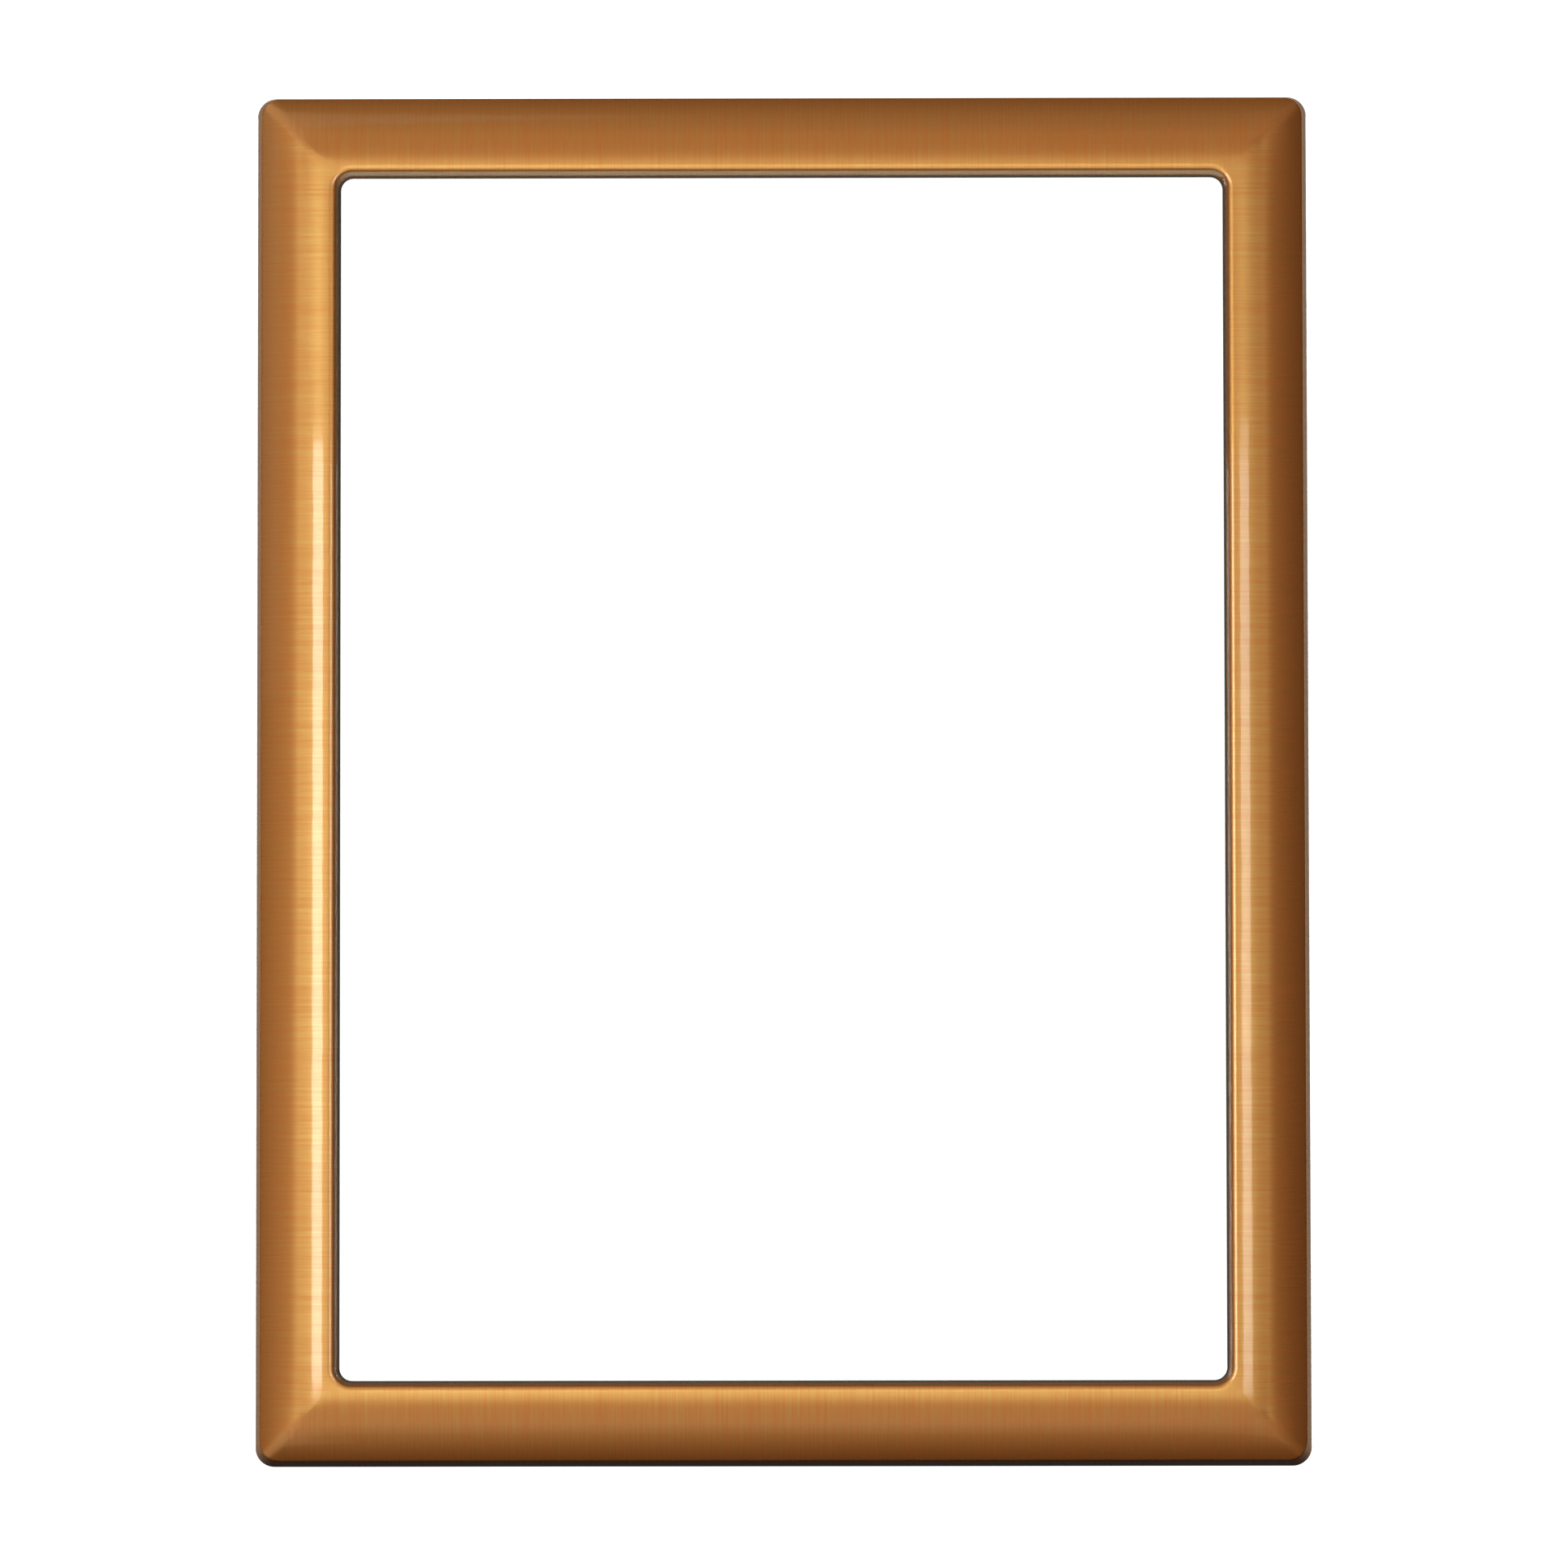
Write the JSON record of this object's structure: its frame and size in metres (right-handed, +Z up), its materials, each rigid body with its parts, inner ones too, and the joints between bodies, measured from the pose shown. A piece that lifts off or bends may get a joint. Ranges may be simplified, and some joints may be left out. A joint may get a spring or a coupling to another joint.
{
  "type": "floating frame",
  "caption": "Slim upright wall frame with a cushion-shaped pressed bronze-coloured front, double clear glazing that shows a sheet afloat, turn-button back and sawtooth hangers.",
  "frame": {"origin": "on the wall plane, at the root of the middle notch of the top hanger, where its nail bears", "axes": "+Z up along the long side, +X to the right as seen from the front, the front faces -Y and the wall is at y = 0"},
  "size_m": [0.1986, 0.0155, 0.2585],
  "materials": {
    "pressed_bronze": "cross-brushed bronze-coloured metal under clear gloss lacquer",
    "spring_steel": "bright",
    "grey_foam": "matte closed-cell foam",
    "clear_glass": "clear float glass",
    "spacer_card": "matte",
    "fibreboard": "smooth brown fibreboard",
    "white_nylon": "satin",
    "zinc_plated_steel": "zinc plated",
    "limewood": "bare planed limewood",
    "brass_plated_steel": "brass plated",
    "black_steel": "black coated spring steel",
    "clear_rubber": "soft translucent rubber"
  },
  "bodies": {
    "frame": {"back_frame": "fibreboard", "bumper_bottom_left": "clear_rubber", "bumper_bottom_right": "clear_rubber", "bumper_top_left": "clear_rubber", "bumper_top_right": "clear_rubber", "button_screws": "zinc_plated_steel", "button_washers": "white_nylon", "core_bottom": "limewood", "core_left": "limewood", "core_right": "limewood", "core_top": "limewood", "corner_v_nails": "spring_steel", "front_gasket": "grey_foam", "front_pane": "clear_glass", "front_shell": "pressed_bronze", "hanger_right": "brass_plated_steel", "hanger_screws": "zinc_plated_steel", "hanger_top": "brass_plated_steel", "pane_spacer": "spacer_card", "rear_gasket": "grey_foam", "rear_pane": "clear_glass"},
    "turn_button_top_left": {"turn_button_top_left": "black_steel"},
    "turn_button_top_right": {"turn_button_top_right": "black_steel"},
    "turn_button_bottom_left": {"turn_button_bottom_left": "black_steel"},
    "turn_button_bottom_right": {"turn_button_bottom_right": "black_steel"},
    "turn_button_left_upper": {"turn_button_left_upper": "black_steel"},
    "turn_button_left_lower": {"turn_button_left_lower": "black_steel"},
    "turn_button_right_upper": {"turn_button_right_upper": "black_steel"},
    "turn_button_right_lower": {"turn_button_right_lower": "black_steel"}
  },
  "joints": [
    {"name": "turn_top_left", "type": "hinge", "parent": "frame", "child": "turn_button_top_left", "pos_m": [-0.05, -0.0025, 0.0014], "axis": [0, 1, 0], "continuous": true},
    {"name": "turn_top_right", "type": "hinge", "parent": "frame", "child": "turn_button_top_right", "pos_m": [0.05, -0.0025, 0.0014], "axis": [0, 1, 0], "continuous": true},
    {"name": "turn_bottom_left", "type": "hinge", "parent": "frame", "child": "turn_button_bottom_left", "pos_m": [-0.05, -0.0025, -0.2449], "axis": [0, 1, 0], "continuous": true},
    {"name": "turn_bottom_right", "type": "hinge", "parent": "frame", "child": "turn_button_bottom_right", "pos_m": [0.05, -0.0025, -0.2449], "axis": [0, 1, 0], "continuous": true},
    {"name": "turn_left_upper", "type": "hinge", "parent": "frame", "child": "turn_button_left_upper", "pos_m": [-0.09315, -0.0025, -0.04675], "axis": [0, 1, 0], "continuous": true},
    {"name": "turn_left_lower", "type": "hinge", "parent": "frame", "child": "turn_button_left_lower", "pos_m": [-0.09315, -0.0025, -0.19675], "axis": [0, 1, 0], "continuous": true},
    {"name": "turn_right_upper", "type": "hinge", "parent": "frame", "child": "turn_button_right_upper", "pos_m": [0.09315, -0.0025, -0.04675], "axis": [0, 1, 0], "continuous": true},
    {"name": "turn_right_lower", "type": "hinge", "parent": "frame", "child": "turn_button_right_lower", "pos_m": [0.09315, -0.0025, -0.19675], "axis": [0, 1, 0], "continuous": true}
  ]
}
